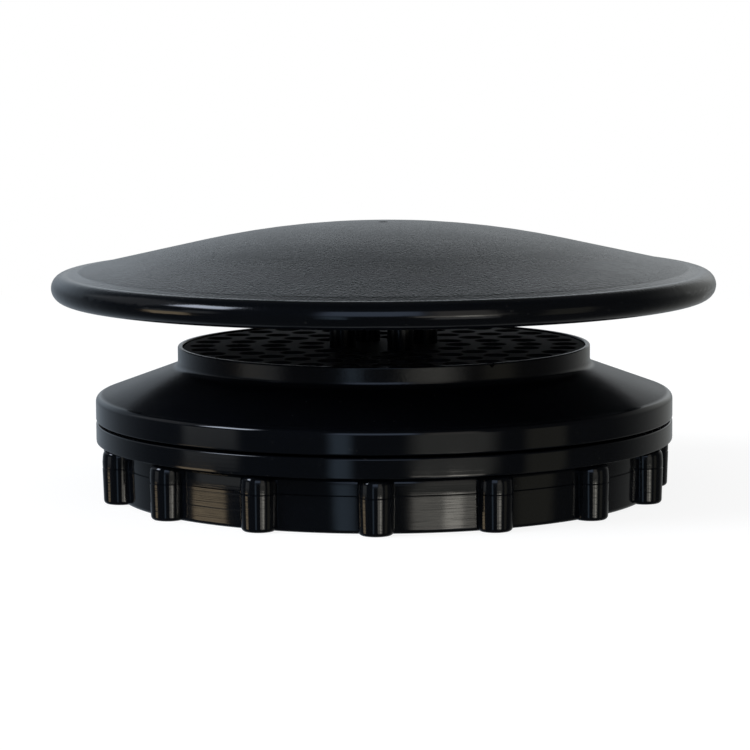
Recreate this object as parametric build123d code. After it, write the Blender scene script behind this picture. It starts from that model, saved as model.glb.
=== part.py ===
from build123d import *
import math
import os

# Boat cover ventilator, in millimetres. +Z is up, the axis of the vent is Z, and Z = 0 is the
# plane that the ring nut stands on. -Y is the front.

# Ring nut
nut_height = 13.5
nut_wall = 6.0
nut_bottom_bevel = 0.7
nut_top_round = 1.0
thread_clearance = 0.1
rib_count = 15
rib_width = 8.8
rib_inset = 0.1
rib_root_round = 0.8
rib_turn = -91.7

# Clamp ring
clamp_ring_height = 4.8
clamp_ring_clearance = 1.5
clamp_ring_edge_round = 0.5
nut_to_ring_gap = 0.15
cover_gap = 0.6

# Vent body
spigot_radius = 61.0
spigot_wall = 3.0
spigot_end_gap = 1.6
spigot_lead_in = 0.8
flange_overhang = 10.9
flange_thickness = 5.65
flange_top_round = 1.5
flange_bottom_round = 0.4
flange_face_width = 6.0
cone_drop = 7.5
cone_wall = 3.0
neck_inset = 9.6
neck_band = 4.8
neck_rim_width = 1.2
neck_root_round = 2.0
neck_rim_round = 0.4
ledge_width = 1.8
index_notch_width = 2.2
index_notch_turn = -60.2

# Hub, webs and pole socket under the grille
hub_margin = 1.1
hub_thickness = 3.0
web_thickness = 2.4
web_depth = 19.0
socket_radius = 4.9
socket_depth = 18.0
socket_wall = 2.0
socket_end_wall = 2.6
socket_mouth_bevel = 0.8

# Grille
grille_thickness = 2.2
grille_recess = 0.4
grille_clearance = 0.15
grille_hole_radius = 3.2
grille_hole_bridge = 2.4
grille_rows = 4
grille_centre_margin = 1.15
grille_edge_margin = 1.65

# Cap
cap_radius = 82.5
cap_gap = 11.7
bead_radius = 3.3
dome_slope = 12.6
dome_slope_width = 30.9
dome_wall = 2.6
apex_dimple_radius = 1.2
apex_dimple_depth = 0.6
cap_rib_count = 8
cap_rib_thickness = 1.8
cap_rib_depth = 2.4
cap_boss_margin = 1.25
cap_boss_depth = 3.0

# Posts and the screws that hold cap, grille and body together
post_count = 4
post_radius = 3.25
post_turn = 22.0
pilot_clearance = 0.05
pilot_tip_gap = 2.0
screw_radius = 1.9
screw_hole_clearance = 0.3
screw_bite = 12.0
screw_head_radius = 3.6
screw_head_height = 2.6
screw_head_gap = 0.5
screw_head_round = 1.5
screw_drive_width = 3.0
screw_drive_slot = 0.8
screw_drive_depth = 1.4

# Heights that follow from the sizes above
ring_bottom = nut_height + nut_to_ring_gap
ring_top = ring_bottom + clamp_ring_height
flange_bottom = ring_top + cover_gap
cone_bottom = flange_bottom + flange_thickness
cone_top = cone_bottom + cone_drop
neck_top = cone_top + neck_band
grille_top = neck_top - grille_recess
grille_bottom = grille_top - grille_thickness
hub_bottom = grille_bottom - hub_thickness
socket_top = hub_bottom - socket_end_wall
socket_mouth = socket_top - socket_depth
bead_height = neck_top + cap_gap + bead_radius

# Radii that follow from the sizes above
flange_radius = spigot_radius + flange_overhang
nut_skirt_radius = spigot_radius + thread_clearance + nut_wall
neck_radius = spigot_radius - neck_inset
neck_inner_radius = neck_radius - neck_rim_width
spigot_inner_radius = spigot_radius - spigot_wall
grille_radius = neck_inner_radius - grille_clearance
socket_tube_radius = socket_radius + socket_wall
post_circle_radius = socket_tube_radius + screw_head_gap + screw_head_radius
post_reach = post_circle_radius + post_radius
web_turn = post_turn + 180 / post_count

# The dome's outer line: a crown arc from the apex, then a straight slope into the bead
slope = math.radians(dome_slope)
bead_circle_radius = cap_radius - bead_radius
dome_edge_height = bead_height + bead_radius * math.cos(slope)
dome_edge_radius = bead_circle_radius - bead_radius * math.sin(slope)
crown_radius = dome_edge_radius - dome_slope_width
crown_arc_radius = crown_radius / math.sin(slope)
crown_edge_height = dome_edge_height + (dome_edge_radius - crown_radius) * math.tan(slope)
apex_height = crown_edge_height + crown_arc_radius * (1 - math.cos(slope))


def profile(*corners):
    """A closed outline in the XZ plane from (radius, height) corners, each with an optional
    third value, the radius that rounds it."""
    outline = make_face(Polyline([corner[:2] for corner in corners], close=True))
    for corner in corners:
        if len(corner) == 3:
            point = Vector(corner[0], corner[1])
            vertex = outline.vertices().sort_by_distance(point)[0]
            outline = fillet(vertex, corner[2])
    return Plane.XZ * outline


def turned(*corners):
    """A solid of revolution about Z."""
    return revolve(profile(*corners), Axis.Z)


def rod(radius, bottom, top):
    """An upright cylinder on the axis between two heights."""
    return Pos(0, 0, bottom) * Cylinder(
        radius, top - bottom, align=(Align.CENTER, Align.CENTER, Align.MIN)
    )


def around(count, turn, radius=0.0):
    """Evenly spaced places round the axis, each turned to face outwards."""
    return PolarLocations(radius, count, start_angle=turn)


def at_posts(shape):
    """A copy of the shape at each post, as one list."""
    return [place * shape for place in around(post_count, post_turn, post_circle_radius)]


def dome_line(depth):
    """The dome's line at a depth under its outer face: apex, arc's end and edge."""
    arc_radius = crown_arc_radius - depth
    arc_centre = apex_height - crown_arc_radius
    apex = (0, arc_centre + arc_radius)
    arc_end = (arc_radius * math.sin(slope), arc_centre + arc_radius * math.cos(slope))
    edge = (
        dome_edge_radius - depth * math.sin(slope),
        dome_edge_height - depth * math.cos(slope),
    )
    return apex, arc_end, edge


def dome_layer(top_depth, bottom_depth):
    """The revolved layer of the dome between two depths under its outer face."""
    top_apex, top_end, top_edge = dome_line(top_depth)
    low_apex, low_end, low_edge = dome_line(bottom_depth)
    outline = make_face(
        [
            TangentArc(top_apex, top_end, tangent=(1, 0)),
            Polyline(top_end, top_edge, low_edge, low_end),
            TangentArc(low_apex, low_end, tangent=(1, 0)),
            Line(low_apex, top_apex),
        ]
    )
    return revolve(Plane.XZ * outline, Axis.Z)


def make_cap():
    """Domed cap with its rolled bead, underside ribs, boss and four posts."""
    bead = revolve(
        Plane.XZ * Pos(bead_circle_radius, bead_height) * Circle(bead_radius), Axis.Z
    )
    shell = dome_layer(0, dome_wall) + bead
    rib = Box(
        bead_circle_radius,
        cap_rib_thickness,
        apex_height,
        align=(Align.MIN, Align.CENTER, Align.MIN),
    )
    rib_layer = dome_layer(dome_wall / 2, dome_wall + cap_rib_depth)
    ribs = [place * rib for place in around(cap_rib_count, post_turn)]
    shell += rib_layer & (Part() + ribs)
    boss_layer = dome_layer(dome_wall / 2, dome_wall + cap_boss_depth)
    shell += boss_layer & rod(post_reach + cap_boss_margin, 0, apex_height)
    post_top = apex_height - dome_wall
    shell += at_posts(rod(post_radius, grille_top, post_top))
    pilot_radius = screw_radius + pilot_clearance
    pilot_end = grille_top + screw_bite + pilot_tip_gap
    shell -= at_posts(rod(pilot_radius, grille_top, pilot_end))
    dimple_floor = apex_height - apex_dimple_depth
    dimple = rod(apex_dimple_radius, dimple_floor, apex_height + apex_dimple_depth)
    return shell - dimple


def make_grille():
    """Flat perforated plate with rows of round holes and a plain centre for the posts."""
    plate = Circle(grille_radius)
    first_row = post_reach + grille_centre_margin + grille_hole_radius
    last_row = grille_radius - grille_edge_margin - grille_hole_radius
    row_pitch = (last_row - first_row) / (grille_rows - 1)
    hole_pitch = 2 * grille_hole_radius + grille_hole_bridge
    for row in range(grille_rows):
        row_radius = first_row + row * row_pitch
        row_holes = round(2 * math.pi * row_radius / hole_pitch)
        plate -= PolarLocations(row_radius, row_holes) * Circle(grille_hole_radius)
    screw_hole = Circle(screw_radius + screw_hole_clearance)
    plate -= at_posts(screw_hole)
    return Pos(0, 0, grille_bottom) * extrude(plate, grille_thickness)


def body_shell():
    """Neck, cone, flange and spigot as one turned shell."""
    cone_slope = math.atan2(cone_drop, flange_radius - neck_radius)
    wall_drop = cone_wall / math.cos(cone_slope)
    recess_radius = flange_radius - flange_face_width
    ledge_radius = neck_inner_radius - ledge_width

    def under_cone(radius):
        return cone_bottom + (flange_radius - radius) * math.tan(cone_slope) - wall_drop

    return turned(
        (neck_radius, neck_top, neck_rim_round),
        (neck_radius, cone_top, neck_root_round),
        (flange_radius, cone_bottom, flange_top_round),
        (flange_radius, flange_bottom, flange_bottom_round),
        (recess_radius, flange_bottom),
        (recess_radius, under_cone(recess_radius)),
        (spigot_radius, under_cone(spigot_radius)),
        (spigot_radius, spigot_end_gap + spigot_lead_in),
        (spigot_radius - spigot_lead_in, spigot_end_gap),
        (spigot_inner_radius, spigot_end_gap),
        (spigot_inner_radius, under_cone(spigot_inner_radius)),
        (ledge_radius, under_cone(ledge_radius)),
        (ledge_radius, grille_bottom),
        (neck_inner_radius, grille_bottom),
        (neck_inner_radius, neck_top),
    )


def make_vent_body():
    """Body shell with the hub, webs and pole socket that stand under the grille."""
    hub = rod(post_reach + hub_margin, hub_bottom, grille_bottom)
    hub += rod(socket_tube_radius, socket_mouth, hub_bottom)
    web_reach = spigot_inner_radius + spigot_wall / 2
    web_bottom = grille_bottom - web_depth
    web = Pos(0, 0, grille_bottom) * Box(
        web_reach,
        web_thickness,
        web_depth,
        align=(Align.MIN, Align.CENTER, Align.MAX),
    )
    inside = turned(
        (0, web_bottom),
        (web_reach, web_bottom),
        (web_reach, flange_bottom),
        (neck_inner_radius, grille_bottom),
        (0, grille_bottom),
    )
    webs = [place * web for place in around(post_count, web_turn)]
    body = body_shell() + hub + (inside & (Part() + webs))
    body -= rod(socket_radius, socket_mouth, socket_top)
    mouth_radius = socket_radius + socket_mouth_bevel
    body -= turned((0, socket_mouth), (mouth_radius, socket_mouth), (0, socket_mouth + mouth_radius))
    hole_radius = screw_radius + screw_hole_clearance
    body -= at_posts(rod(hole_radius, hub_bottom, grille_bottom))
    notch_side = index_notch_width / math.sqrt(2)
    notch = Rot(45, 0, 0) * Box(neck_rim_width * 2, notch_side, notch_side)
    rim_middle = neck_radius - neck_rim_width / 2
    return body - Rot(0, 0, index_notch_turn) * Pos(rim_middle, 0, neck_top) * notch


def make_clamp_ring():
    """Flat ring that presses the cover up against the body's flange."""
    bore_radius = spigot_radius + clamp_ring_clearance
    return turned(
        (bore_radius, ring_bottom),
        (flange_radius, ring_bottom, clamp_ring_edge_round),
        (flange_radius, ring_top, clamp_ring_edge_round),
        (bore_radius, ring_top),
    )


def make_ring_nut():
    """Ring nut with half-round grip ribs round its skirt."""
    rib_reach = flange_radius - rib_inset
    ribs = around(rib_count, 0, rib_reach - rib_width / 2) * Circle(rib_width / 2)
    outline = Circle(nut_skirt_radius) + ribs
    rib_middle = (nut_skirt_radius + rib_reach) / 2
    roots = [v for v in outline.vertices() if Vector(v).length < rib_middle]
    nut = extrude(fillet(roots, rib_root_round), nut_height)
    foot_edges = nut.faces().sort_by(Axis.Z)[0].outer_wire().edges()
    nut = chamfer(foot_edges, nut_bottom_bevel)
    top_edges = nut.faces().sort_by(Axis.Z)[-1].outer_wire().edges()
    nut = fillet(top_edges, nut_top_round)
    nut -= rod(spigot_radius + thread_clearance, 0, nut_height)
    return Rot(0, 0, rib_turn) * nut


def make_cap_screws():
    """Pan-head screws that come up through hub and grille into the posts."""
    head_bottom = hub_bottom - screw_head_height
    screw_top = grille_top + screw_bite
    screw = turned(
        (0, head_bottom),
        (screw_head_radius, head_bottom, screw_head_round),
        (screw_head_radius, hub_bottom),
        (screw_radius, hub_bottom),
        (screw_radius, screw_top - screw_radius),
        (0, screw_top),
    )
    slot = Pos(0, 0, head_bottom) * Box(
        screw_drive_width, screw_drive_slot, 2 * screw_drive_depth
    )
    screw -= slot + Rot(0, 0, 90) * slot
    return Compound(at_posts(screw))


parts = {
    "cap": make_cap,
    "grille": make_grille,
    "vent_body": make_vent_body,
    "clamp_ring": make_clamp_ring,
    "ring_nut": make_ring_nut,
    "cap_screws": make_cap_screws,
}

os.makedirs("parts", exist_ok=True)
for name, make in parts.items():
    export_step(make(), f"parts/{name}.step")
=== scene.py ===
import math

import bpy
from bpy.props import FloatProperty, FloatVectorProperty, IntProperty, PointerProperty
from mathutils import Matrix, Vector


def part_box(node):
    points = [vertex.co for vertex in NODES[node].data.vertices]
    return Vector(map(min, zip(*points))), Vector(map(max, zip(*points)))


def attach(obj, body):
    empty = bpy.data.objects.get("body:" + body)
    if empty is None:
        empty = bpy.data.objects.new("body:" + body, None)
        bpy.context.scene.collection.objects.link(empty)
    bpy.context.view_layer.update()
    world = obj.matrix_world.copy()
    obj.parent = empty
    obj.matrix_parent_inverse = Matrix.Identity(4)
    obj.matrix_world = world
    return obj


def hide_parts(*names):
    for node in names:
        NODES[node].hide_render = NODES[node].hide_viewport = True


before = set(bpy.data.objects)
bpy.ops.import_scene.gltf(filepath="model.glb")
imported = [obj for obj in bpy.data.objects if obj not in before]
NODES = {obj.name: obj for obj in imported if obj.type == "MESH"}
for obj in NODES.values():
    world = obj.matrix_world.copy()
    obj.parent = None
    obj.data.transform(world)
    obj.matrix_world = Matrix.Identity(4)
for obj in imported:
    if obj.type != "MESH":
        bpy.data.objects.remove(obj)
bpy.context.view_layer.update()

bl_info = {
    "name": "Domed cover vent",
    "version": (1, 0, 0),
    "blender": (4, 5, 0),
    "location": "View3D > Sidebar > Cover vent",
    "description": "Dresses the domed boat cover vent and sets its studio",
    "category": "Object",
}

# The object stands on Z = 0 with its axis on Z, and -Y is the front. All lengths are in metres.
WHITE = (1.0, 1.0, 1.0, 1.0)
CREASE = math.radians(32)

# The thread between spigot and nut: its start above the floor, the gaps and the turns.
THREAD_START = 0.0032
THREAD_CLEARANCE = 0.0001
GROOVE_CLEARANCE = 0.0002
RIDGE_TURNS = 3.5
GROOVE_TURNS = 6.0

# The body's hidden parts. The cone's wall is taller than it is thick, by its slant.
WALL_SLANT = 1.064
LEDGE_WIDTH = 0.0018
FLANGE_LIP = 0.006
HUB_RADIUS = 0.01535
HUB_HEIGHT = 0.003
SLEEVE_RADIUS = 0.0069
SOCKET_RADIUS = 0.0049
SOCKET_MOUTH = 0.0108
SOCKET_DEPTH = 0.018
WEB_LENGTH = 0.12
WEB_DEPTH = 0.019
WEB_TURNS = (67, 157)
BOLT_HOLE_RADIUS = 0.0022
NOTCH_SIZE = 0.0022
NOTCH_RADIUS = 0.0508
NOTCH_TURN = math.radians(-60.2)

# The grille's rows of air holes, and the depth of the line where the nut's mould parted.
GRILLE_ROWS = 4
PARTING_DEPTH = 0.00016

# The cap screws.
SCREWS = 4
HEAD_HEIGHT = 0.0026
HEAD_ROUND = 0.0013
TIP_LENGTH = 0.0014
CREST_HEIGHT = 0.0004
CREST_RADIUS = 0.00036
SCREW_THREAD_TURNS = 8.0
RECESS_SIZE = (0.0030, 0.0008, 0.0028)

# Radii and heights between which one finish gives way to the next.
BEAD_EDGE = (0.0752, 0.0762)
DOME_FLANK = (0.048, 0.072)
DOME_FOOT = (0.0544, 0.0550)
GRAIN_FOOT = (0.0531, 0.0553)
CONE_EDGE = (0.0518, 0.0530)
FLANGE_EDGE = (0.0700, 0.0712)

# The plastic's noises, in grains a metre, its dust, and the mirroring of a dulled face.
CLOUD_SCALE = 55.0
SPECK_SCALE = 900.0
DUST_COLOUR = (0.09, 0.09, 0.085, 1.0)
DULL_SPECULAR = 0.03

# The room: where it turns pale behind the vent and dims by height, in degrees, and its tints.
BEHIND = (96.0, 164.0)
BACK_TOP = (14.0, 38.0)
BACK_FOOT = (-2.0, 12.0)
CEILING = (40.0, 70.0)
LEFT_TINT = (0.85, 1.0, 1.17, 1.0)
RIGHT_TINT = (0.98, 1.0, 0.97, 1.0)

# The floor: the radii over which the vent's shadow fades out, its grey and its own glow.
SHADOW_REACH = (0.22, 0.55)
FLOOR_GREY = (0.20, 0.20, 0.20, 1.0)
FLOOR_GLOW = 0.86


class Wire:
    """A socket of a node tree. Python's operators on it add Math nodes."""

    def __init__(self, graph, socket):
        self.graph = graph
        self.socket = socket

    def math(self, operation, *others):
        """A Math node with this wire first."""
        return self.graph.add("ShaderNodeMath", {"operation": operation}, (self, *others))

    def __add__(self, other):
        return self.math("ADD", other)

    def __sub__(self, other):
        return self.math("SUBTRACT", other)

    def __mul__(self, other):
        return self.math("MULTIPLY", other)

    def __truediv__(self, other):
        return self.math("DIVIDE", other)

    def __pow__(self, other):
        return self.math("POWER", other)

    def __gt__(self, other):
        return self.math("GREATER_THAN", other)

    def __lt__(self, other):
        return self.math("LESS_THAN", other)

    def __neg__(self):
        return self.math("MULTIPLY", -1.0)

    def __rsub__(self, other):
        return self.graph.add("ShaderNodeMath", {"operation": "SUBTRACT"}, (other, self))

    def __rtruediv__(self, other):
        return self.graph.add("ShaderNodeMath", {"operation": "DIVIDE"}, (other, self))

    __radd__ = __add__
    __rmul__ = __mul__

    def rises(self, low, high):
        """0 below low, 1 above high, and a smooth rise between them."""
        settings = {"interpolation_type": "SMOOTHSTEP"}
        return self.graph.add("ShaderNodeMapRange", settings, (self, low, high))


class Graph:
    """Builds one node tree, a material's, a world's or a Geometry Nodes group's."""

    def __init__(self, tree):
        self.tree = tree

    def add(self, kind, settings=None, values=(), out=0):
        """One node: its settings first, then the values or wires of its sockets."""
        node = self.tree.nodes.new(kind)
        for name, value in (settings or {}).items():
            setattr(node, name, value)
        pairs = values.items() if isinstance(values, dict) else enumerate(values)
        for key, value in pairs:
            if isinstance(value, Wire):
                self.tree.links.new(value.socket, node.inputs[key])
            elif isinstance(value, list):
                for wire in value:
                    self.tree.links.new(wire.socket, node.inputs[key])
            elif value is not None:
                node.inputs[key].default_value = value
        return Wire(self, node.outputs[out]) if node.outputs else None

    def outputs(self, wire, *names):
        """Other outputs of the node that a wire comes from."""
        return [Wire(self, wire.socket.node.outputs[name]) for name in names]

    def vector(self, **parts):
        """A vector from its X, Y and Z. One that isn't given is 0."""
        return self.add("ShaderNodeCombineXYZ", None, parts)

    def blend(self, share, first, second):
        """A colour between two colours."""
        settings = {"data_type": "RGBA"}
        return self.add("ShaderNodeMix", settings, {0: share, 6: first, 7: second}, out=2)


class ObjectPlace:
    """Wires for where a point lies on the object: radius, height, turn and position."""

    def __init__(self, graph):
        coordinates = graph.add("ShaderNodeTexCoord")
        self.position, = graph.outputs(coordinates, "Object")
        split = graph.add("ShaderNodeSeparateXYZ", None, (self.position,))
        self.x, self.y, self.z = graph.outputs(split, "X", "Y", "Z")
        self.radius = (self.x * self.x + self.y * self.y) ** 0.5
        self.turn = self.y.math("ARCTAN2", self.x)


def colour(rgb):
    """A property's colour as a socket's, with alpha."""
    return (*rgb, 1.0)


class Growth:
    """A Geometry Nodes tree with named sizes, and the plain mesh that grows from it."""

    KINDS = {int: "NodeSocketInt", float: "NodeSocketFloat"}

    def __init__(self, name, sizes):
        self.name = name
        self.sizes = sizes
        self.tree = bpy.data.node_groups.new(name, "GeometryNodeTree")
        self.graph = Graph(self.tree)
        self.identifiers = {}
        for label, value in sizes.items():
            socket = self.tree.interface.new_socket(
                label, in_out="INPUT", socket_type=self.KINDS[type(value)])
            socket.default_value = value
            self.identifiers[label] = socket.identifier
        kind = "NodeSocketGeometry"
        self.tree.interface.new_socket("Geometry", in_out="OUTPUT", socket_type=kind)
        self.entry = self.graph.add("NodeGroupInput")

    def add(self, kind, values=(), settings=None):
        """A Geometry node by its kind."""
        return self.graph.add("GeometryNode" + kind, settings, values)

    def wires(self, *labels):
        """Wires that bring sizes into the tree."""
        return self.graph.outputs(self.entry, *labels)

    def size(self, label):
        """The wire of one size."""
        return self.wires(label)[0]

    def by_index(self, kind, values):
        """A field that gives each point its own value, in order."""
        index = self.add("InputIndex")
        switch = self.tree.nodes.new("GeometryNodeIndexSwitch")
        switch.data_type = kind
        while len(switch.index_switch_items) < len(values):
            switch.index_switch_items.new()
        self.tree.links.new(index.socket, switch.inputs[0])
        for socket, value in zip(switch.inputs[1:], values):
            if isinstance(value, Wire):
                self.tree.links.new(value.socket, socket)
            else:
                socket.default_value = value
        return Wire(self.graph, switch.outputs[0])

    def line_through(self, places):
        """A curve of straight lines from place to place."""
        line = self.add("MeshLine", {"Count": len(places), "Offset": (0.0, 0.0, 1.0)})
        values = {"Geometry": line, "Position": self.by_index("VECTOR", places)}
        line = self.add("SetPosition", values)
        return self.add("MeshToCurve", {"Mesh": line})

    def turned(self, corners, segments):
        """A closed solid of revolution about Z, from (radius, height) corners that rise."""
        line = self.line_through([self.graph.vector(Z=height) for _, height in corners])
        circle = self.add("CurvePrimitiveCircle", {"Resolution": segments, "Radius": 1.0})
        radii = self.by_index("FLOAT", [radius for radius, _ in corners])
        values = {"Curve": line, "Profile Curve": circle, "Scale": radii, "Fill Caps": True}
        return self.add("CurveToMesh", values)

    def spun(self, corners, reach, segments, steps=6):
        """A closed ring of revolution about Z, from (radius, height, round) corners in order."""
        line = self.line_through([
            self.graph.vector(X=radius - reach, Y=0.0 - height)
            for radius, height, _ in corners])
        line = self.add("SetSplineCyclic", {"Geometry": line, "Cyclic": True})
        rounds = self.by_index("FLOAT", [corner[2] for corner in corners])
        values = {"Curve": line, "Count": steps, "Radius": rounds, "Limit Radius": True}
        line = self.add("FilletCurve", values, {"mode": "POLY"})
        circle = self.add("CurvePrimitiveCircle", {"Resolution": segments, "Radius": reach})
        circle = self.add("SetCurveNormal", {"Curve": circle}, {"mode": "Z_UP"})
        return self.add("CurveToMesh", {"Curve": circle, "Profile Curve": line})

    def box(self, size, place, *turns):
        """A box with its middle at a place, turned about the origin first, once for each turn."""
        box = self.add("MeshCube", {"Size": size})
        for turn in turns:
            box = self.add("Transform", {"Geometry": box, "Rotation": turn})
        return self.add("Transform", {"Geometry": box, "Translation": place})

    def ring_of(self, piece, count, radius, turn=0.0):
        """Copies of a piece, evenly spaced on a circle about Z."""
        circle = self.add("MeshCircle", {"Vertices": count, "Radius": radius})
        spin = self.graph.vector(Z=turn)
        circle = self.add("Transform", {"Geometry": circle, "Rotation": spin})
        copies = self.add("InstanceOnPoints", {"Points": circle, "Instance": piece})
        return self.add("RealizeInstances", {"Geometry": copies})

    def helix(self, radius, foot, lead, turns, section, resolution=96, tapered=False):
        """A round cord on a right-handed helix about Z, fading in and out if tapered."""
        values = {"Resolution": resolution, "Rotations": turns, "Start Radius": radius,
                  "End Radius": radius, "Height": lead * turns, "Reverse": True}
        spiral = self.add("CurveSpiral", values)
        lift = self.graph.vector(Z=foot)
        spiral = self.add("Transform", {"Geometry": spiral, "Translation": lift})
        circle = self.add("CurvePrimitiveCircle", {"Resolution": 12, "Radius": section})
        scale = 1.0
        if tapered:
            along = self.add("SplineParameter")
            scale = 0.05 + 0.95 * along.rises(0.0, 0.03) * (1.0 - along.rises(0.97, 1.0))
        values = {"Curve": spiral, "Profile Curve": circle, "Scale": scale, "Fill Caps": True}
        return self.add("CurveToMesh", values)

    def combined(self, operation, pieces, whole=None):
        """Closed solids combined into one."""
        settings = {"operation": operation, "solver": "MANIFOLD"}
        return self.add("MeshBoolean", {"Mesh 1": whole, "Mesh 2": list(pieces)}, settings)

    def union(self, *pieces):
        """The pieces joined."""
        return self.combined("UNION", pieces)

    def common(self, *pieces):
        """The room that all the pieces share."""
        return self.combined("INTERSECT", pieces)

    def minus(self, piece, *cutters):
        """The piece less the cutters."""
        return self.combined("DIFFERENCE", cutters, piece)

    def grow(self, piece, material):
        """Ends the tree, evaluates it and returns one plain mesh object."""
        crease = self.add("InputMeshEdgeAngle") > CREASE
        piece = self.add("RealizeInstances", {"Geometry": piece})
        values = {"Geometry": piece, "Selection": crease, "Shade Smooth": False}
        piece = self.add("SetShadeSmooth", values, {"domain": "EDGE"})
        piece = self.add("SetMaterial", {"Geometry": piece, "Material": material})
        self.graph.add("NodeGroupOutput", None, {"Geometry": piece})
        host_name = self.name + "_host"
        host = bpy.data.objects.new(host_name, bpy.data.meshes.new(host_name))
        nodes = host.modifiers.new("growth", "NODES")
        nodes.node_group = self.tree
        for label, value in self.sizes.items():
            nodes[self.identifiers[label]] = value
        return settled(host, self.name)


def settled(host, name):
    """One plain mesh object from a host and its modifiers, with its normals weighted by area."""
    bpy.context.scene.collection.objects.link(host)
    normals = host.modifiers.new("weighted_normals", "WEIGHTED_NORMAL")
    normals.keep_sharp = True
    depsgraph = bpy.context.evaluated_depsgraph_get()
    mesh = bpy.data.meshes.new_from_object(
        host.evaluated_get(depsgraph), preserve_all_data_layers=True, depsgraph=depsgraph)
    host.modifiers.clear()
    bpy.data.objects.remove(host)
    mesh.name = name
    piece = bpy.data.objects.new(name, mesh)
    bpy.context.scene.collection.objects.link(piece)
    return piece


def named_sizes(group, *names):
    """A property group's sizes by label, such as "Rim Width" for rim_width."""
    names = names or type(group).__annotations__
    return {name.replace("_", " ").title(): getattr(group, name) for name in names}


def quarter_round(radius, height, size, top, steps=4):
    """Corners of a rounded edge, rising, at the top or the bottom of a turned outline."""
    corners = []
    for step in range(steps + 1):
        turn = math.pi / 2 * step / steps
        across, along = size * (1 - math.cos(turn)), size * (1 - math.sin(turn))
        if top:
            corners.append((radius - across, height - along))
        else:
            corners.append((radius - along, height + across))
    return corners


def noise(graph, vector, scale, detail=2.0, roughness=0.5):
    """A cloudy value about one half."""
    values = {"Vector": vector, "Scale": scale, "Detail": detail, "Roughness": roughness}
    return graph.add("ShaderNodeTexNoise", None, values)


def eggshell(graph, place, look):
    """The fine grain of the mould's face."""
    return noise(graph, place.position, look.grain_scale, 2.0, 0.6)


def new_material(name):
    """An empty material, and its graph."""
    material = bpy.data.materials.new(name)
    material.use_nodes = True
    material.node_tree.nodes.clear()
    return material, Graph(material.node_tree)


def finish_plastic(graph, base, roughness, height, depth, specular=0.5, dull=None):
    """Ends a moulded plastic's tree. The relief's height goes in metres through one Bump.
    Where dull is 1, the surface mirrors far less."""
    values = {"Strength": 1.0, "Distance": depth, "Height": height}
    bump = graph.add("ShaderNodeBump", None, values)
    values = {"Base Color": base, "Roughness": roughness, "Normal": bump,
              "Specular IOR Level": specular}
    shader = graph.add("ShaderNodeBsdfPrincipled", None, values)
    if dull is not None:
        values["Specular IOR Level"] = DULL_SPECULAR
        faint = graph.add("ShaderNodeBsdfPrincipled", None, values)
        shader = graph.add("ShaderNodeMixShader", None, (dull, shader, faint))
    graph.add("ShaderNodeOutputMaterial", None, {"Surface": shader})


def moulded_shade(graph, place, look):
    """The plastic's colour: near black with slow clouds and a few pale specks of dust."""
    clouds = noise(graph, place.position, CLOUD_SCALE, 3.0)
    tone = graph.blend(clouds, colour(look.deep_colour), colour(look.plastic_colour))
    speck = noise(graph, place.position, SPECK_SCALE, 1.0)
    dust = speck.rises(0.74, 0.80) * look.dust
    return graph.blend(dust, tone, DUST_COLOUR), clouds


def dome_plastic(look):
    """Fine eggshell on the dome and a smooth gloss on the rolled bead at its edge."""
    material, graph = new_material("dome_plastic")
    place = ObjectPlace(graph)
    base, clouds = moulded_shade(graph, place, look)
    dome = (1.0 - place.radius.rises(*BEAD_EDGE)) * place.z.rises(*DOME_FOOT)
    grained = dome + (1.0 - dome) * place.z.rises(*GRAIN_FOOT) * 0.5
    base = graph.blend(dome, base, colour(look.dome_colour))
    grain = eggshell(graph, place, look)
    ripple = noise(graph, place.position, 260.0, 1.0)
    matt = look.dome_roughness + (clouds - 0.5) * 0.10 + (grain - 0.5) * 0.10
    matt = matt - place.radius.rises(*DOME_FLANK) * 0.07
    gloss = look.bead_roughness + (clouds - 0.5) * 0.06
    roughness = gloss + (matt - gloss) * dome
    relief = grain * grained * 4.0 + ripple * 0.35
    finish_plastic(graph, base, roughness, relief, look.grain_depth)
    return material


def body_plastic(look):
    """Satin on the neck and cone, and a smoother flange edge."""
    material, graph = new_material("body_plastic")
    place = ObjectPlace(graph)
    base, clouds = moulded_shade(graph, place, look)
    edge = place.radius.rises(*FLANGE_EDGE)
    grain = eggshell(graph, place, look)
    ripple = noise(graph, place.position, 200.0, 1.0)
    matt = look.cone_roughness + (clouds - 0.5) * 0.10
    gloss = look.flange_roughness + (clouds - 0.5) * 0.06
    roughness = matt + (gloss - matt) * edge
    relief = grain * (1.0 - edge) * 0.6 + ripple * 0.3
    cone = place.radius.rises(*CONE_EDGE) * (1.0 - edge)
    finish_plastic(graph, base, roughness, relief, look.grain_depth, dull=cone)
    return material


def ring_plastic(name, look, roughness, line_depth):
    """Gloss with fine level lines, as a turned mould leaves them."""
    material, graph = new_material(name)
    place = ObjectPlace(graph)
    base, clouds = moulded_shade(graph, place, look)
    flat = graph.vector(X=place.turn * 2.0, Y=place.z * 1500.0, Z=place.radius * 300.0)
    lines = noise(graph, flat, 1.0, 3.0, 0.6)
    ripple = noise(graph, place.position, 230.0, 1.0)
    rough = roughness + (clouds - 0.5) * 0.06 + (lines - 0.5) * 0.06
    finish_plastic(graph, base, rough, lines * line_depth + ripple * 0.4, look.grain_depth)
    return material


def grille_plastic(look):
    """Flat matt black of the plate under the cap."""
    material, graph = new_material("grille_plastic")
    place = ObjectPlace(graph)
    base, clouds = moulded_shade(graph, place, look)
    grain = eggshell(graph, place, look)
    roughness = look.grille_roughness + (clouds - 0.5) * 0.1
    finish_plastic(graph, base, roughness, grain, look.grain_depth, 0.3)
    return material


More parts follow.
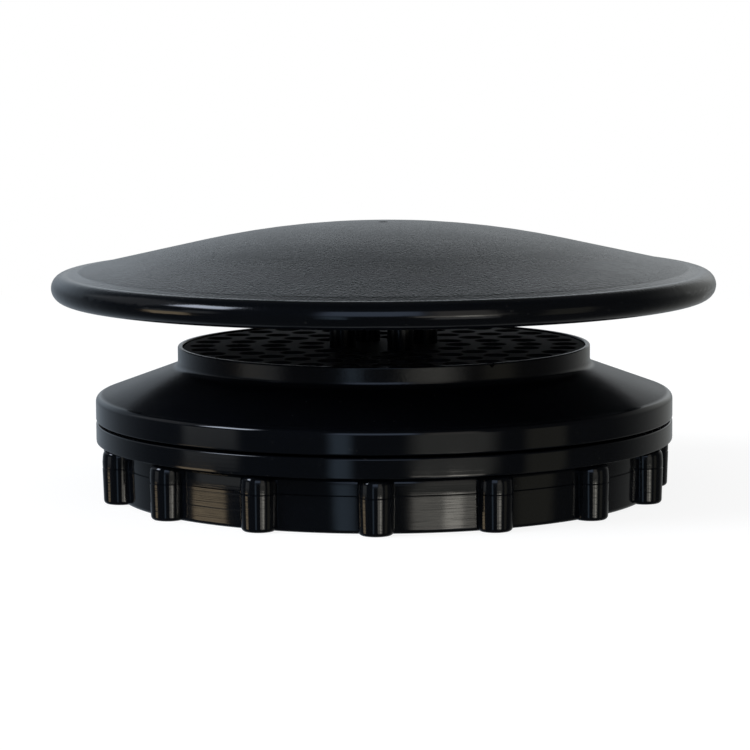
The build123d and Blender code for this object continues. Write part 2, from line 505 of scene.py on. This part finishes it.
def brushed_steel():
    """Stainless steel of the screws, with fine turning marks."""
    material, graph = new_material("screw_steel")
    place = ObjectPlace(graph)
    marks = noise(graph, place.position, 2500.0, 3.0)
    base = graph.blend(marks, (0.50, 0.49, 0.47, 1.0), (0.64, 0.63, 0.61, 1.0))
    values = {"Strength": 0.3, "Distance": 0.00001, "Height": marks}
    bump = graph.add("ShaderNodeBump", None, values)
    values = {"Base Color": base, "Metallic": 1.0, "Roughness": 0.22 + marks * 0.2,
              "Normal": bump}
    shader = graph.add("ShaderNodeBsdfPrincipled", None, values)
    graph.add("ShaderNodeOutputMaterial", None, {"Surface": shader})
    return material


def dress(node, material):
    """Gives a CAD node its material."""
    node.data.materials.clear()
    node.data.materials.append(material)


# What the properties of one kind share.
LENGTH = {"precision": 5, "unit": "LENGTH"}
FACTOR = {"min": 0.0, "max": 1.0, "subtype": "FACTOR"}
SHADE = {"size": 3, "min": 0.0, "max": 1.0, "subtype": "COLOR"}


class PlasticLook(bpy.types.PropertyGroup):
    """Colours and finish of the moulded plastic"""

    deep_colour: FloatVectorProperty(
        name="Deep colour", description="Colour of the plastic's darker clouds",
        default=(0.0010, 0.0013, 0.0020), **SHADE)
    plastic_colour: FloatVectorProperty(
        name="Plastic colour", description="Colour of the plastic's lighter clouds",
        default=(0.0022, 0.0027, 0.0038), **SHADE)
    dome_colour: FloatVectorProperty(
        name="Dome colour", description="Colour of the cap's grained dome",
        default=(0.0060, 0.0066, 0.0076), **SHADE)
    dust: FloatProperty(
        name="Dust", description="How much the specks of dust show",
        default=0.09, **FACTOR)
    grain_scale: FloatProperty(
        name="Grain scale", description="Fineness of the eggshell grain, in grains a metre",
        min=100.0, max=6000.0, default=1450.0)
    grain_depth: FloatProperty(
        name="Grain depth", description="Height of the eggshell grain",
        min=0.0, max=0.001, default=0.00004, precision=6, unit="LENGTH")
    dome_roughness: FloatProperty(
        name="Dome roughness", description="Roughness of the cap's dome",
        default=0.28, **FACTOR)
    bead_roughness: FloatProperty(
        name="Bead roughness", description="Roughness of the cap's rolled bead",
        default=0.12, **FACTOR)
    cone_roughness: FloatProperty(
        name="Cone roughness", description="Roughness of the neck and cone",
        default=0.19, **FACTOR)
    flange_roughness: FloatProperty(
        name="Flange roughness", description="Roughness of both flanges' edges",
        default=0.08, **FACTOR)
    line_depth: FloatProperty(
        name="Line depth", description="Depth of the level mould lines, against the grain's",
        min=0.0, max=2.0, default=0.6)
    grille_roughness: FloatProperty(
        name="Grille roughness", description="Roughness of the perforated grille",
        default=0.60, **FACTOR)
    nut_roughness: FloatProperty(
        name="Nut roughness", description="Roughness of the ribbed ring nut",
        default=0.09, **FACTOR)


class NutSizes(bpy.types.PropertyGroup):
    """Sizes of the ribbed ring nut and of the thread that it runs on"""

    height: FloatProperty(
        name="Height", description="Height of the nut above the floor",
        min=0.001, default=0.0135, **LENGTH)
    skirt_radius: FloatProperty(
        name="Skirt radius", description="Radius of the skirt between the ribs",
        min=0.01, default=0.0671, **LENGTH)
    bore_radius: FloatProperty(
        name="Bore radius", description="Radius of the bore between the thread's grooves",
        min=0.01, default=0.0611, **LENGTH)
    rib_count: IntProperty(
        name="Rib count", description="Number of grip ribs", min=3, default=15)
    rib_radius: FloatProperty(
        name="Rib radius", description="Radius of each half-round rib",
        min=0.001, default=0.0044, **LENGTH)
    rib_reach: FloatProperty(
        name="Rib reach", description="Distance of the ribs' outermost line from the axis",
        min=0.01, default=0.0718, **LENGTH)
    rib_turn: FloatProperty(
        name="Rib turn", description="Angle of the first rib about the axis",
        default=math.radians(-91.7), subtype="ANGLE")
    foot_round: FloatProperty(
        name="Foot round", description="Radius that rounds the foot's outer edge",
        min=0.0, default=0.0010, **LENGTH)
    top_round: FloatProperty(
        name="Top round", description="Radius that rounds the top's outer edge",
        min=0.0, default=0.0017, **LENGTH)
    parting_height: FloatProperty(
        name="Parting height", description="Height of the line where the mould's halves met",
        min=0.0, default=0.0089, **LENGTH)
    draft: FloatProperty(
        name="Draft", description="How fast the nut narrows away from the parting line",
        min=0.0, max=0.1, default=0.026)
    lead: FloatProperty(
        name="Thread lead", description="Rise of the right-hand thread in one turn",
        min=0.0005, default=0.004, **LENGTH)
    ridge_radius: FloatProperty(
        name="Ridge radius", description="Radius of the thread's rounded ridge",
        min=0.0001, default=0.0009, **LENGTH)


class BodySizes(bpy.types.PropertyGroup):
    """Sizes of the vent body's shell"""

    flange_radius: FloatProperty(
        name="Flange radius", description="Radius of the flange's outer edge",
        min=0.01, default=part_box("vent_body")[1][0], **LENGTH)
    flange_thickness: FloatProperty(
        name="Flange thickness", description="Height of the flange's outer edge",
        min=0.001, default=0.00565, **LENGTH)
    flange_top_round: FloatProperty(
        name="Flange top round", description="Radius that rounds the flange into the cone",
        min=0.0, default=0.0015, **LENGTH)
    cone_drop: FloatProperty(
        name="Cone drop", description="How far the cone falls from the neck to the flange",
        min=0.001, default=0.0075, **LENGTH)
    neck_radius: FloatProperty(
        name="Neck radius", description="Outer radius of the neck",
        min=0.01, default=0.0514, **LENGTH)
    neck_band: FloatProperty(
        name="Neck band", description="Height of the neck above the cone",
        min=0.001, default=0.0048, **LENGTH)
    neck_root_round: FloatProperty(
        name="Neck root round", description="Radius that rounds the neck into the cone",
        min=0.0, default=0.002, **LENGTH)
    rim_width: FloatProperty(
        name="Rim width", description="Width of the neck's rim round the grille",
        min=0.0002, default=0.0012, **LENGTH)
    wall: FloatProperty(
        name="Wall", description="Wall of the cone and of the spigot",
        min=0.0005, default=0.003, **LENGTH)
    web_thickness: FloatProperty(
        name="Web thickness", description="Thickness of the webs under the grille",
        min=0.0005, default=0.0024, **LENGTH)


class ClampRingSizes(bpy.types.PropertyGroup):
    """Sizes of the clamp ring"""

    outer_radius: FloatProperty(
        name="Outer radius", description="Radius of the ring's outer edge",
        min=0.01, default=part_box("clamp_ring")[1][0], **LENGTH)
    bore_radius: FloatProperty(
        name="Bore radius", description="Radius of the ring's bore",
        min=0.01, default=0.0625, **LENGTH)
    edge_round: FloatProperty(
        name="Edge round", description="Radius that rounds the outer edges",
        min=0.00005, default=0.0005, **LENGTH)


class GrilleSizes(bpy.types.PropertyGroup):
    """Sizes of the perforated grille"""

    plate_radius: FloatProperty(
        name="Plate radius", description="Outer radius of the plate",
        min=0.01, default=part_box("grille")[1][0], **LENGTH)
    hole_radius: FloatProperty(
        name="Hole radius", description="Radius of each air hole",
        min=0.0005, default=0.0032, **LENGTH)
    bridge: FloatProperty(
        name="Bridge", description="Plastic left between two holes of a row",
        min=0.0005, default=0.0024, **LENGTH)
    first_row: FloatProperty(
        name="First row", description="Radius of the innermost row of holes",
        min=0.001, default=0.0186, **LENGTH)
    last_row: FloatProperty(
        name="Last row", description="Radius of the outermost row of holes",
        min=0.001, default=0.0452, **LENGTH)
    edge_round: FloatProperty(
        name="Edge round", description="Radius that rounds the holes' edges",
        min=0.00005, default=0.0003, **LENGTH)


class ScrewSizes(bpy.types.PropertyGroup):
    """Sizes of the four cap screws"""

    circle: FloatProperty(
        name="Screw circle", description="Distance of the screws from the axis",
        min=0.001, default=0.011, **LENGTH)
    turn: FloatProperty(
        name="Screw turn", description="Angle of the first screw about the axis",
        default=math.radians(22), subtype="ANGLE")
    head_radius: FloatProperty(
        name="Head radius", description="Radius of the pan head",
        min=0.001, default=0.0036, **LENGTH)
    shank_radius: FloatProperty(
        name="Shank radius", description="Radius over the thread's crests",
        min=0.0005, default=0.0019, **LENGTH)
    pitch: FloatProperty(
        name="Pitch", description="Rise of the self-tapping thread in one turn",
        min=0.0003, default=0.0014, **LENGTH)


class StudioSettings(bpy.types.PropertyGroup):
    """Camera, floor and light"""

    lens: FloatProperty(
        name="Lens", description="Focal length of the camera, for a 36 mm sensor",
        min=10.0, default=154.64, unit="CAMERA")
    camera_distance: FloatProperty(
        name="Camera distance", description="How far the camera stands from the vent's axis",
        min=0.1, default=0.8, unit="LENGTH")
    camera_height: FloatProperty(
        name="Camera height", description="Height of the camera above the floor",
        min=0.0, default=0.1254, unit="LENGTH")
    floor_radius: FloatProperty(
        name="Floor radius", description="Radius of the round floor",
        min=0.5, default=7.0, unit="LENGTH")
    back_light: FloatProperty(
        name="Back light", description="Brightness of the room behind the vent",
        min=0.0, default=0.48)
    front_light: FloatProperty(
        name="Front light", description="Brightness of the room before the vent",
        min=0.0, default=0.035)
    panel_light: FloatProperty(
        name="Panel light",
        description="Brightness of the windows and pale walls, against their own",
        min=0.0, default=1.0)
    key_strength: FloatProperty(
        name="Key strength", description="Irradiance of the key lamp",
        min=0.0, default=1.7)


# Windows, pale walls and bright patches of the table round the vent, as its gloss mirrors them.
# Each has its azimuth, from the front towards the right, and half its width, then its lowest and
# highest elevation and how softly it ends, all in degrees, and then its brightness and its tint.
PANELS = {
    "backdrop": (174, 17, 2, 24, 12, 0.16, (0.98, 1.0, 1.03)),
    "window": (-71, 12, 27, 43, 6, 8.5, (0.86, 0.95, 1.12)),
    "wall_by_window": (-107, 20, 18, 46, 10, 0.22, (0.95, 0.98, 1.03)),
    "front_wall": (-4, 17, 5, 34, 7, 0.80, (0.72, 0.92, 1.30)),
    "front_wall_right": (27, 11, 0, 32, 8, 0.45, (1.06, 1.0, 0.92)),
    "table_left": (-17, 4, -26, 2, 5, 0.45, (0.74, 1.02, 1.36)),
    "table_right": (27, 16, -12, 3, 10, 0.38, (1.02, 1.02, 0.93)),
    "table_right_near": (25, 14, -16, -11, 2, 1.7, (1.04, 1.0, 0.90)),
    "table_right_spot": (29, 4, -16, -11, 2, 2.6, (1.04, 1.0, 0.90)),
    "table_right_nearest": (28, 11, -30, -17, 3, 0.6, (1.0, 1.0, 1.0)),
    "wall_left": (-72, 13, -9, 9, 6, 0.36, (0.97, 1.01, 1.02)),
    "table_far_left": (-80, 9, -22, -11, 2, 1.5, (1.26, 0.99, 0.64)),
    "wall_right": (66, 9, -24, 10, 6, 0.15, (1.1, 1.05, 0.80)),
}


def degrees(wire):
    """An angle's wire in degrees, from radians."""
    return wire * (180.0 / math.pi)


def room_light(graph, direction, settings):
    """The room's colour by direction: dark before the vent, pale behind it, with the panels."""
    split = graph.add("ShaderNodeSeparateXYZ", None, (direction,))
    x, y, z = graph.outputs(split, "X", "Y", "Z")
    azimuth = degrees(x.math("ARCTAN2", -y))
    elevation = degrees(z.math("ARCSINE"))
    aside = azimuth.math("ABSOLUTE")
    back = aside.rises(*BEHIND) * (0.05 + 0.95 * (1.0 - elevation.rises(*BACK_TOP)))
    back = back * (0.62 + 0.38 * elevation.rises(*BACK_FOOT))
    dim = 1.0 - 0.4 * elevation.rises(*CEILING)
    plain = (settings.front_light + back * (settings.back_light - settings.front_light)) * dim
    tint = graph.blend(x.rises(-0.6, 0.6), LEFT_TINT, RIGHT_TINT)
    values = {"Vector": tint, "Scale": plain}
    light = graph.add("ShaderNodeVectorMath", {"operation": "SCALE"}, values)
    for centre, half, low, high, soft, brightness, tint in PANELS.values():
        across = (azimuth - centre).math("WRAP", 180.0, -180.0).math("ABSOLUTE")
        share = 1.0 - across.rises(half - soft / 2, half + soft / 2)
        share = share * elevation.rises(low - soft / 2, low + soft / 2)
        share = share * (1.0 - elevation.rises(high - soft / 2, high + soft / 2))
        glow = share * (brightness * settings.panel_light)
        added = {"operation": "MULTIPLY_ADD"}
        light = graph.add("ShaderNodeVectorMath", added, (tint, glow, light))
    return light


def make_world(settings):
    """The room: its own light on the vent and in its gloss, and plain white behind it."""
    world = bpy.data.worlds.new("studio_world")
    world.use_nodes = True
    world.node_tree.nodes.clear()
    graph = Graph(world.node_tree)
    direction, = graph.outputs(graph.add("ShaderNodeTexCoord"), "Generated")
    light = room_light(graph, direction, settings)
    room = graph.add("ShaderNodeBackground", None, {"Color": light, "Strength": 1.0})
    white = graph.add("ShaderNodeBackground", None, {"Color": WHITE, "Strength": 1.0})
    path = graph.add("ShaderNodeLightPath")
    camera_ray, transmission = graph.outputs(path, "Is Camera Ray", "Is Transmission Ray")
    seen = camera_ray.math("MAXIMUM", transmission)
    mixed = graph.add("ShaderNodeMixShader", None, (seen, room, white))
    graph.add("ShaderNodeOutputWorld", None, {"Surface": mixed})
    bpy.context.scene.world = world


def floor_material():
    """White with the vent's soft shadow. In gloss it gives way to the room's own table."""
    material, graph = new_material("studio_floor")
    place = ObjectPlace(graph)
    near = 1.0 - place.radius.rises(*SHADOW_REACH)
    lit = graph.add("ShaderNodeBsdfDiffuse", None, {"Color": FLOOR_GREY})
    glow = graph.add("ShaderNodeEmission", None, {"Color": WHITE, "Strength": FLOOR_GLOW})
    soft = graph.add("ShaderNodeAddShader", None, (lit, glow))
    plain = graph.add("ShaderNodeEmission", None, {"Color": WHITE, "Strength": 1.0})
    shown = graph.add("ShaderNodeMixShader", None, (near, plain, soft))
    clear = graph.add("ShaderNodeBsdfTransparent")
    glossy, = graph.outputs(graph.add("ShaderNodeLightPath"), "Is Glossy Ray")
    mixed = graph.add("ShaderNodeMixShader", None, (glossy, shown, clear))
    graph.add("ShaderNodeOutputMaterial", None, {"Surface": mixed})
    return material


def add_sun(name, direction, **settings):
    """A sun that shines on the vent from a direction, and isn't seen in its gloss."""
    data = bpy.data.lights.new(name, "SUN")
    for key, value in settings.items():
        setattr(data, key, value)
    lamp = bpy.data.objects.new(name, data)
    bpy.context.scene.collection.objects.link(lamp)
    place = Vector(direction).normalized()
    lamp.location = place * 2.0 + Vector((0.0, 0.0, 0.03))
    lamp.rotation_mode = "QUATERNION"
    lamp.rotation_quaternion = place.to_track_quat("Z", "Y")
    lamp.visible_glossy = False


def make_camera(settings):
    """The photograph's camera: a long lens, level with the cap and looking slightly down."""
    yaw, pitch, roll = -0.0028, 0.1199, -0.0060
    ahead = Vector((math.sin(yaw) * math.cos(pitch), math.cos(yaw) * math.cos(pitch),
                    -math.sin(pitch)))
    right = Vector((math.cos(yaw), -math.sin(yaw), 0.0))
    up = right.cross(ahead)
    turned_right = math.cos(roll) * right + math.sin(roll) * up
    turned_up = math.cos(roll) * up - math.sin(roll) * right
    data = bpy.data.cameras.new("studio_camera")
    data.lens = settings.lens
    data.sensor_width = 36.0
    data.clip_start = 0.05
    data.clip_end = 50.0
    camera = bpy.data.objects.new("studio_camera", data)
    bpy.context.scene.collection.objects.link(camera)
    place = Vector((0.0, -settings.camera_distance, settings.camera_height))
    axes = Matrix((turned_right, turned_up, -ahead)).transposed().to_4x4()
    camera.matrix_world = Matrix.Translation(place) @ axes
    bpy.context.scene.camera = camera


class VENT_OT_studio(bpy.types.Operator):
    """Make the floor, the room's light, the lamps and the camera"""

    bl_idname = "cover_vent.make_studio"
    bl_label = "Studio"

    def execute(self, context):
        settings = context.scene.vent_studio
        make_camera(settings)
        make_world(settings)
        bpy.ops.mesh.primitive_circle_add(
            vertices=96, radius=settings.floor_radius, fill_type="NGON")
        floor = context.object
        floor.name = "studio_floor"
        floor.data.materials.append(floor_material())
        add_sun("key_lamp", (-0.80, -0.20, 0.60),
                energy=settings.key_strength, angle=math.radians(40), color=(0.95, 0.98, 1.0))
        add_sun("fill_lamp", (0.30, -0.25, 0.95),
                energy=1.2, angle=math.radians(90), color=(1.0, 0.99, 0.97))
        context.scene.view_settings.view_transform = "Standard"
        return {"FINISHED"}


class VENT_OT_cap(bpy.types.Operator):
    """Dress the domed cap, its rolled bead and its posts"""

    bl_idname = "cover_vent.dress_cap"
    bl_label = "Domed cap"

    def execute(self, context):
        dress(NODES["cap"], dome_plastic(context.scene.vent_plastic))
        return {"FINISHED"}


class VENT_OT_body(bpy.types.Operator):
    """Make the body: its turned shell, hub, webs and pole socket, and the thread on its spigot"""

    bl_idname = "cover_vent.make_body"
    bl_label = "Vent body"

    def execute(self, context):
        plastic = body_plastic(context.scene.vent_plastic)
        shell = self.shell(context, plastic)
        for piece in (shell, self.thread(context, plastic)):
            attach(piece, "body")
        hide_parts("vent_body")
        return {"FINISHED"}

    @staticmethod
    def shell(context, plastic):
        """The turned shell with its hub, webs, pole socket, screw holes and notch."""
        body, screws = context.scene.vent_body, context.scene.vent_screws
        spigot = context.scene.vent_nut.bore_radius - THREAD_CLEARANCE
        (_, _, foot), (_, _, top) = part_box("vent_body")
        (_, _, deck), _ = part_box("grille")
        growth = Growth("flanged_body", {**named_sizes(body), "Spigot Radius": spigot})
        flange, neck, outside = growth.wires("Flange Radius", "Neck Radius", "Spigot Radius")
        wall, drop, web = growth.wires("Wall", "Cone Drop", "Web Thickness")
        cone_top = top - growth.size("Neck Band")
        cone_foot = cone_top - drop
        underside = cone_foot - growth.size("Flange Thickness")
        rim = neck - growth.size("Rim Width")
        ledge = rim - LEDGE_WIDTH
        slope = drop / (flange - neck)

        def under_cone(radius):
            """Height of the cone's underside."""
            return cone_foot + (flange - radius) * slope - wall * WALL_SLANT

        inside, recess, chamfer = outside - wall, flange - FLANGE_LIP, 0.0008
        shell = growth.spun([
            (neck, top, 0.0004), (neck, cone_top, growth.size("Neck Root Round")),
            (flange, cone_foot, growth.size("Flange Top Round")), (flange, underside, 0.0004),
            (recess, underside, 0.0), (recess, under_cone(recess), 0.0),
            (outside, under_cone(outside), 0.0), (outside, foot + chamfer, 0.0),
            (outside - chamfer, foot, 0.0), (inside, foot, 0.0002),
            (inside, under_cone(inside), 0.0005), (ledge, under_cone(ledge), 0.0),
            (ledge, deck, 0.0001), (rim, deck, 0.0), (rim, top, 0.0003)],
            (rim + ledge) * 0.5, 360)

        hub_foot, ease, skin = deck - HUB_HEIGHT, 0.0003, 0.00001
        hub = growth.turned([
            (SLEEVE_RADIUS - ease, SOCKET_MOUTH), (SLEEVE_RADIUS, SOCKET_MOUTH + ease),
            (SLEEVE_RADIUS, hub_foot - skin), (HUB_RADIUS - 0.0002, hub_foot),
            (HUB_RADIUS, hub_foot + 0.0002), (HUB_RADIUS, deck)], 96)
        size = growth.graph.vector(X=WEB_LENGTH, Y=web, Z=WEB_DEPTH)
        middle = (0.0, 0.0, deck - WEB_DEPTH / 2)
        webs = [growth.box(size, middle, (0.0, 0.0, math.radians(turn))) for turn in WEB_TURNS]
        reach = inside + wall * 0.5
        room = growth.turned([(reach, deck - WEB_DEPTH), (reach, underside), (rim, deck)], 240)
        webs = growth.common(growth.union(*webs), room)

        flare = 0.0008
        socket = growth.turned([
            (SOCKET_RADIUS + flare + 0.0001, SOCKET_MOUTH - 0.0001),
            (SOCKET_RADIUS + flare, SOCKET_MOUTH), (SOCKET_RADIUS, SOCKET_MOUTH + flare),
            (SOCKET_RADIUS, SOCKET_MOUTH + SOCKET_DEPTH)], 64)
        bolt = growth.turned([(BOLT_HOLE_RADIUS, hub_foot - 0.001),
                              (BOLT_HOLE_RADIUS, deck + 0.001)], 24)
        bolts = growth.ring_of(bolt, SCREWS, screws.circle, screws.turn)
        side = NOTCH_SIZE / math.sqrt(2.0)
        place = (NOTCH_RADIUS * math.cos(NOTCH_TURN), NOTCH_RADIUS * math.sin(NOTCH_TURN), top)
        notch = growth.box((0.0024, side, side), place, (math.radians(45), 0.0, 0.0),
                           (0.0, 0.0, NOTCH_TURN))
        solid = growth.minus(growth.union(shell, hub, webs), socket, bolts, notch)
        return growth.grow(solid, plastic)

    @staticmethod
    def thread(context, plastic):
        """The thread's ridge on the spigot."""
        nut = context.scene.vent_nut
        growth = Growth("spigot_thread", {
            "Spigot Radius": nut.bore_radius - THREAD_CLEARANCE,
            **named_sizes(nut, "lead", "ridge_radius")})
        spigot, lead, ridge = growth.wires("Spigot Radius", "Lead", "Ridge Radius")
        thread = growth.helix(
            spigot - ridge * 0.05, THREAD_START, lead, RIDGE_TURNS, ridge, tapered=True)
        return growth.grow(thread, plastic)


class VENT_OT_grille(bpy.types.Operator):
    """Make the perforated grille from its rows of round holes"""

    bl_idname = "cover_vent.make_grille"
    bl_label = "Grille"

    def execute(self, context):
        sizes, screws = context.scene.vent_grille, context.scene.vent_screws
        (_, _, bottom), (_, _, top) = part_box("grille")
        growth = Growth("perforated_grille", {
            **named_sizes(sizes), "Screw Circle": screws.circle, "Screw Turn": screws.turn})
        radius, hole, edge = growth.wires("Plate Radius", "Hole Radius", "Edge Round")
        first_row, last_row, bridge = growth.wires("First Row", "Last Row", "Bridge")
        plate = growth.turned([*quarter_round(radius, bottom, edge, False),
                               *quarter_round(radius, top, edge, True)], 240)

        def cutter(clear_radius, segments):
            """What one hole with eased edges takes away."""
            flare = clear_radius + edge
            outermost = flare + edge + 0.0001
            mouth = [(2.0 * flare - r, z) for r, z in quarter_round(flare, bottom, edge, False)]
            throat = [(2.0 * flare - r, z) for r, z in quarter_round(flare, top, edge, True)]
            return growth.turned([(outermost, bottom - 0.0004), *mouth, *throat,
                                  (outermost, top + 0.0004)], segments)

        air_hole = cutter(hole - edge, 32)
        rows = []
        for row in range(GRILLE_ROWS):
            row_radius = first_row + (last_row - first_row) * (row / (GRILLE_ROWS - 1))
            count = (row_radius * (2.0 * math.pi) / (hole * 2.0 + bridge)).math("ROUND")
            rows.append(growth.ring_of(air_hole, count, row_radius))
        screw_hole = cutter(screws.shank_radius + 0.0003 - edge, 24)
        circle, turn = growth.wires("Screw Circle", "Screw Turn")
        rows.append(growth.ring_of(screw_hole, SCREWS, circle, turn))
        plastic = grille_plastic(context.scene.vent_plastic)
        piece = growth.grow(growth.minus(plate, *rows), plastic)
        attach(piece, "body")
        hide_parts("grille")
        return {"FINISHED"}


class VENT_OT_clamp_ring(bpy.types.Operator):
    """Make the clamp ring under the flange"""

    bl_idname = "cover_vent.make_clamp_ring"
    bl_label = "Clamp ring"

    def execute(self, context):
        ring, look = context.scene.vent_clamp_ring, context.scene.vent_plastic
        (_, _, bottom), (_, _, top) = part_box("clamp_ring")
        growth = Growth("rounded_clamp_ring", named_sizes(ring))
        outer, bore, edge = growth.wires("Outer Radius", "Bore Radius", "Edge Round")
        ease, spare = 0.0003, 0.001
        disc = growth.turned([*quarter_round(outer - 0.00005, bottom, edge * 0.3, False, 6),
                              (outer, bottom + edge * 1.3),
                              *quarter_round(outer, top, edge, True, 6)], 360)
        hole = growth.turned([(bore + ease, bottom - spare), (bore + ease, bottom),
                              (bore, bottom + ease), (bore, top - ease),
                              (bore + ease, top), (bore + ease, top + spare)], 360)
        plastic = ring_plastic(
            "clamp_ring_plastic", look, look.flange_roughness, look.line_depth * 0.3)
        piece = growth.grow(growth.minus(disc, hole), plastic)
        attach(piece, "clamp")
        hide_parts("clamp_ring")
        return {"FINISHED"}


class VENT_OT_ring_nut(bpy.types.Operator):
    """Make the ring nut: a drafted skirt, its half-round ribs and the thread cut in its bore"""

    bl_idname = "cover_vent.make_ring_nut"
    bl_label = "Ring nut"

    def execute(self, context):
        nut, look = context.scene.vent_nut, context.scene.vent_plastic
        growth = Growth("ribbed_nut", named_sizes(nut))
        height, parting, draft = growth.wires("Height", "Parting Height", "Draft")
        foot_round, top_round, lead = growth.wires("Foot Round", "Top Round", "Lead")
        skirt_radius, bore, ridge = growth.wires("Skirt Radius", "Bore Radius", "Ridge Radius")
        rib_radius, rib_reach, rib_turn = growth.wires("Rib Radius", "Rib Reach", "Rib Turn")

        def outline(radius):
            """Drafted to both sides of the parting line."""
            foot = radius - parting * draft
            brow = radius - (height - parting) * draft
            return [*quarter_round(foot, 0.0, foot_round, False),
                    (radius, parting - PARTING_DEPTH), (radius - PARTING_DEPTH, parting),
                    (radius - PARTING_DEPTH / 4, parting + PARTING_DEPTH),
                    (radius, parting + 0.0015),
                    *quarter_round(brow, height, top_round, True, 6)]

        skirt = growth.turned(outline(skirt_radius), 240)
        rib = growth.turned(outline(rib_radius), 40)
        ribs = growth.ring_of(rib, growth.size("Rib Count"), rib_reach - rib_radius, rib_turn)
        lead_in, spare = 0.0004, 0.001
        hole = growth.turned([(bore + lead_in, -spare), (bore + lead_in, 0.0), (bore, lead_in),
                              (bore, height - lead_in), (bore + lead_in, height),
                              (bore + lead_in, height + spare)], 240)
        groove = growth.helix(bore - THREAD_CLEARANCE, THREAD_START - 2.0 * lead, lead,
                              GROOVE_TURNS, ridge + GROOVE_CLEARANCE)
        solid = growth.minus(growth.union(skirt, ribs), hole, groove)
        plastic = ring_plastic("ring_nut_plastic", look, look.nut_roughness, look.line_depth)
        piece = growth.grow(solid, plastic)
        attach(piece, "nut")
        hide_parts("ring_nut")
        return {"FINISHED"}


class VENT_OT_cap_screws(bpy.types.Operator):
    """Make the four pan-head screws that hold cap, grille and body together"""

    bl_idname = "cover_vent.make_cap_screws"
    bl_label = "Cap screws"

    def execute(self, context):
        screws = context.scene.vent_screws
        (_, _, bottom), (_, _, tip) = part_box("cap_screws")
        (_, _, grille_bottom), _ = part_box("grille")
        growth = Growth("pan_head_screws", {
            "Screw Circle": screws.circle, "Screw Turn": screws.turn,
            **named_sizes(screws, "head_radius", "shank_radius", "pitch")})
        head, shank, pitch = growth.wires("Head Radius", "Shank Radius", "Pitch")
        circle, first_turn = growth.wires("Screw Circle", "Screw Turn")
        seat, core, skin = bottom + HEAD_HEIGHT, shank - CREST_HEIGHT, 0.00001
        solid = growth.turned([
            *quarter_round(head, bottom, HEAD_ROUND, False), (head, seat - skin),
            (core, seat), (core, tip - TIP_LENGTH), (core * 0.2, tip)], 48)
        thread = growth.helix(core, grille_bottom + 0.0010, pitch, SCREW_THREAD_TURNS,
                              CREST_RADIUS, 32, tapered=True)
        recesses = [growth.box(RECESS_SIZE, (0.0, 0.0, bottom), (0.0, 0.0, turn))
                    for turn in (0.0, math.pi / 2)]
        solid = growth.minus(growth.union(solid, thread), *recesses)
        copies = growth.ring_of(solid, SCREWS, circle, first_turn)
        piece = growth.grow(copies, brushed_steel())
        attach(piece, "body")
        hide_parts("cap_screws")
        return {"FINISHED"}


class VENT_PT_panel(bpy.types.Panel):
    """The vent's sizes, colours and pieces"""

    bl_idname = "VENT_PT_panel"
    bl_label = "Cover vent"
    bl_space_type = "VIEW_3D"
    bl_region_type = "UI"
    bl_category = "Cover vent"

    def draw(self, context):
        """Lists the sizes and colours by group, then the operators."""
        for group in GROUPS:
            settings = getattr(context.scene, GROUPS[group])
            box = self.layout.box()
            for name in group.__annotations__:
                box.prop(settings, name)
        for operator in OPERATORS:
            self.layout.operator(operator.bl_idname)


GROUPS = {
    PlasticLook: "vent_plastic",
    BodySizes: "vent_body",
    NutSizes: "vent_nut",
    ClampRingSizes: "vent_clamp_ring",
    GrilleSizes: "vent_grille",
    ScrewSizes: "vent_screws",
    StudioSettings: "vent_studio",
}
OPERATORS = (
    VENT_OT_studio,
    VENT_OT_cap,
    VENT_OT_body,
    VENT_OT_grille,
    VENT_OT_clamp_ring,
    VENT_OT_ring_nut,
    VENT_OT_cap_screws,
)


def register():
    """Registers the classes and hangs each group of properties on the scene."""
    for group, name in GROUPS.items():
        bpy.utils.register_class(group)
        setattr(bpy.types.Scene, name, PointerProperty(type=group))
    for operator in OPERATORS:
        bpy.utils.register_class(operator)
    bpy.utils.register_class(VENT_PT_panel)


def unregister():
    """Takes back what register did."""
    bpy.utils.unregister_class(VENT_PT_panel)
    for operator in reversed(OPERATORS):
        bpy.utils.unregister_class(operator)
    for group, name in GROUPS.items():
        delattr(bpy.types.Scene, name)
        bpy.utils.unregister_class(group)


def main():
    """Makes every piece and the stage."""
    register()
    for operator in OPERATORS:
        area, name = operator.bl_idname.split(".")
        getattr(getattr(bpy.ops, area), name)()


if __name__ == "__main__":
    main()
